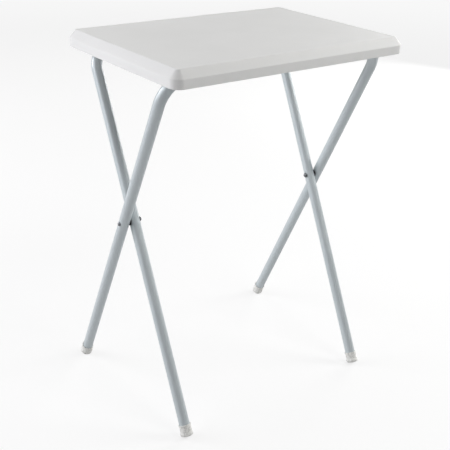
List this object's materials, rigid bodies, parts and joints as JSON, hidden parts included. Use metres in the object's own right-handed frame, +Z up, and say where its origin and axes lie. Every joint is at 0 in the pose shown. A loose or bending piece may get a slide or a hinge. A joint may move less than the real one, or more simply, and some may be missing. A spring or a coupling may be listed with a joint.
{
  "type": "folding table",
  "caption": "Folding snack table: chamfered rectangular moulded top with a skirt, on two crossed inverted-U tube frames riveted where they cross, with capped feet.",
  "frame": {"origin": "on the floor, at the middle of the bounding box's footprint", "axes": "+Z up; X along the top's long side; -Y is the front edge, under which the outer frame's bar turns; +Y is the back edge"},
  "size_m": [0.4734, 0.3557, 0.66],
  "materials": {
    "top_plastic": "white satin moulded",
    "frame_paint": "pale blue-grey powder coat, satin",
    "cap_plastic": "off-white moulded",
    "fitting_plastic": "light grey moulded",
    "rivet_steel": "plated",
    "screw_steel": "zinc plated",
    "spacer_nylon": "dark nylon"
  },
  "bodies": {
    "top_assembly": {"table_top": "top_plastic", "hinge_saddle_left": "fitting_plastic", "bar_clip_left": "fitting_plastic", "saddle_screw_left_front": "screw_steel", "clip_screw_left_front": "screw_steel", "saddle_screw_left_back": "screw_steel", "clip_screw_left_back": "screw_steel", "hinge_saddle_right": "fitting_plastic", "bar_clip_right": "fitting_plastic", "saddle_screw_right_front": "screw_steel", "clip_screw_right_front": "screw_steel", "saddle_screw_right_back": "screw_steel", "clip_screw_right_back": "screw_steel"},
    "outer_frame_assembly": {"outer_frame": "frame_paint", "foot_cap_outer_left": "cap_plastic", "pivot_rivet_left": "rivet_steel", "pivot_spacer_left": "spacer_nylon", "rivet_washer_left": "screw_steel", "foot_cap_outer_right": "cap_plastic", "pivot_rivet_right": "rivet_steel", "pivot_spacer_right": "spacer_nylon", "rivet_washer_right": "screw_steel"},
    "inner_frame_assembly": {"inner_frame": "frame_paint", "foot_cap_inner_left": "cap_plastic", "foot_cap_inner_right": "cap_plastic"}
  },
  "joints": [
    {"name": "top_hinge", "type": "hinge", "parent": "top_assembly", "child": "outer_frame_assembly", "pos_m": [0, -0.13799, 0.6477], "axis": [1, 0, 0], "range_deg": [-24.25, 0]},
    {"name": "leg_pivot", "type": "hinge", "parent": "outer_frame_assembly", "child": "inner_frame_assembly", "pos_m": [0, 0.00078, 0.35599], "axis": [1, 0, 0], "range_deg": [0, 48.5]}
  ],
  "couplings": [
    {"joint": "leg_pivot", "follows": "top_hinge", "ratio": -2}
  ]
}
